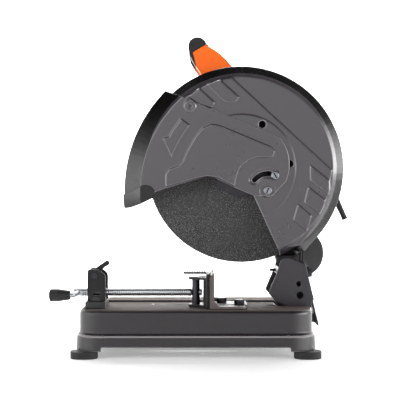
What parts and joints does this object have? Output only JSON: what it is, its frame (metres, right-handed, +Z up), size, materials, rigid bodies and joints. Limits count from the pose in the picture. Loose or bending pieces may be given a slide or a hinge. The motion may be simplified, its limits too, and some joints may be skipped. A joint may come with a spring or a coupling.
{
  "type": "abrasive chop saw",
  "caption": "Bench cut-off saw: a pressed base with a screw vise and swivelling fence carries a hinged, motor-driven abrasive disc in a fixed and a swinging guard.",
  "frame": {"origin": "centre of the four bench bolt holes, at the height of the bench top", "axes": "+X from the vise crank to the head hinge, +Y from the guard side to the motor, +Z up"},
  "size_m": [0.5587, 0.354, 0.5967],
  "materials": {
    "base_paint": "semi-gloss black baked paint",
    "black_rubber": "matt moulded rubber",
    "zinc": "bright zinc plated",
    "bush_bronze": "sintered bronze",
    "cast_dark": "cast and blackened",
    "black_paint": "satin black paint",
    "fence_paint": "satin grey-brown paint",
    "dark_steel": "oiled machined steel",
    "steel": "ground steel",
    "guard_paint": "satin dark grey paint with a faint purple cast",
    "cast_aluminium": "die cast",
    "black_plastic": "fine spark texture",
    "windings": "varnished laminations and windings",
    "copper": "bare copper",
    "orange_plastic": "satin moulded plastic",
    "soft_black": "soft overmoulded rubber",
    "smoked_plastic": "smoked translucent plastic",
    "abrasive": "bonded abrasive grain over glass mesh"
  },
  "bodies": {
    "base": {"base_pan": "base_paint", "rubber_feet": "black_rubber", "foot_sleeves": "zinc", "pivot_bracket": "base_paint", "hinge_bushes": "bush_bronze", "vise_block": "cast_dark", "vise_bracket": "black_paint", "vise_block_bolts": "zinc", "lever_pin": "zinc", "fence_bolts": "zinc"},
    "fence": {"fence": "fence_paint"},
    "carriage": {"trunnion_pin": "dark_steel", "screw_clip": "zinc"},
    "jaw": {"vise_jaw": "black_paint"},
    "screw": {"vise_screw": "zinc", "crank_arm": "zinc"},
    "grip": {"crank_grip": "black_plastic"},
    "lever": {"release_lever": "black_paint"},
    "half_nut": {"half_nut": "bush_bronze"},
    "moving_guard": {"moving_guard": "guard_paint", "guard_tip": "smoked_plastic"},
    "spindle": {"spindle": "steel", "drive_gear": "dark_steel", "inner_flange": "dark_steel", "abrasive_disc": "abrasive", "outer_flange": "dark_steel", "disc_bolt": "zinc"},
    "armature": {"armature_shaft": "steel", "armature_core": "windings", "commutator": "copper", "cooling_fan": "black_plastic"},
    "trigger": {"trigger": "orange_plastic"},
    "lock_button": {"lock_button": "black_plastic"},
    "spindle_lock": {"spindle_lock": "black_plastic"},
    "head": {"head_bracket": "guard_paint", "hinge_pin": "dark_steel", "return_spring": "dark_steel", "tail_bumper": "black_rubber", "stop_bolt": "black_paint", "arm": "cast_dark", "arm_bolts": "zinc", "fixed_guard": "guard_paint", "guard_mount_screws": "zinc", "gear_housing": "cast_aluminium", "gear_cover": "cast_aluminium", "spindle_bearings": "steel", "motor_bearings": "steel", "motor_housing": "black_plastic", "stator": "windings", "brush_holders": "bush_bronze", "brush_caps": "black_plastic", "end_cap": "black_plastic", "housing_screws": "zinc", "handle_shell_front": "orange_plastic", "handle_shell_rear": "orange_plastic", "soft_grip": "soft_black", "switch_body": "black_plastic", "cord_boot": "black_rubber", "guard_stop_screw": "zinc", "guard_pivot_screw": "zinc"}
  },
  "joints": [
    {"name": "head_pivot", "type": "hinge", "parent": "base", "child": "head", "pos_m": [0.1903, 0, 0.1042], "axis": [0, -1, 0], "range_deg": [0, 29], "stiffness_Nm_per_rad": 25, "springref_deg": -74.48},
    {"name": "guard_swing", "type": "hinge", "parent": "head", "child": "moving_guard", "pos_m": [0.133, -0.02, 0.2965], "axis": [0, 1, 0], "range_deg": [0, 70]},
    {"name": "disc_spin", "type": "hinge", "parent": "head", "child": "spindle", "pos_m": [0.0852, 0.022, 0.3385], "axis": [0, 1, 0], "continuous": true},
    {"name": "armature_spin", "type": "hinge", "parent": "head", "child": "armature", "pos_m": [0.09814, 0.1, 0.3868], "axis": [0, 1, 0], "continuous": true},
    {"name": "trigger_pull", "type": "slide", "parent": "head", "child": "trigger", "axis": [-0.5429, 0, 0.8398], "range_m": [0, 0.006], "stiffness_N_per_m": 600, "springref_m": -0.003},
    {"name": "lock_button_press", "type": "slide", "parent": "head", "child": "lock_button", "axis": [0.5429, 0, -0.8398], "range_m": [0, 0.003], "stiffness_N_per_m": 500, "springref_m": -0.002},
    {"name": "spindle_lock_press", "type": "slide", "parent": "head", "child": "spindle_lock", "axis": [0, -1, 0], "range_m": [0, 0.004], "stiffness_N_per_m": 600, "springref_m": -0.002},
    {"name": "vise_slide", "type": "slide", "parent": "base", "child": "carriage", "axis": [-1, 0, 0], "range_m": [0, 0.11]},
    {"name": "vise_screw_turn", "type": "hinge", "parent": "carriage", "child": "screw", "pos_m": [0, -0.067, 0.1117], "axis": [1, 0, 0], "range_deg": [0, 9900]},
    {"name": "jaw_swivel", "type": "hinge", "parent": "carriage", "child": "jaw", "pos_m": [0, -0.067, 0.11], "axis": [0, 0, 1], "range_deg": [0, 45]},
    {"name": "grip_spin", "type": "hinge", "parent": "screw", "child": "grip", "pos_m": [-0.24, -0.129, 0.1117], "axis": [1, 0, 0], "continuous": true},
    {"name": "fence_swivel", "type": "hinge", "parent": "base", "child": "fence", "pos_m": [0.047, -0.045, 0.09], "axis": [0, 0, 1], "range_deg": [0, 45]},
    {"name": "lever_turn", "type": "hinge", "parent": "base", "child": "lever", "pos_m": [-0.182, -0.067, 0.143], "axis": [0, -1, 0], "range_deg": [0, 60]},
    {"name": "half_nut_lift", "type": "slide", "parent": "base", "child": "half_nut", "axis": [0, 0, 1], "range_m": [0, 0.0052]}
  ],
  "couplings": [
    {"joint": "armature_spin", "follows": "disc_spin", "ratio": -4},
    {"joint": "vise_slide", "follows": "vise_screw_turn", "m_per_rad": 0.00063662},
    {"joint": "jaw_swivel", "follows": "fence_swivel", "ratio": 1},
    {"joint": "half_nut_lift", "follows": "lever_turn", "m_per_rad": 0.0047}
  ]
}
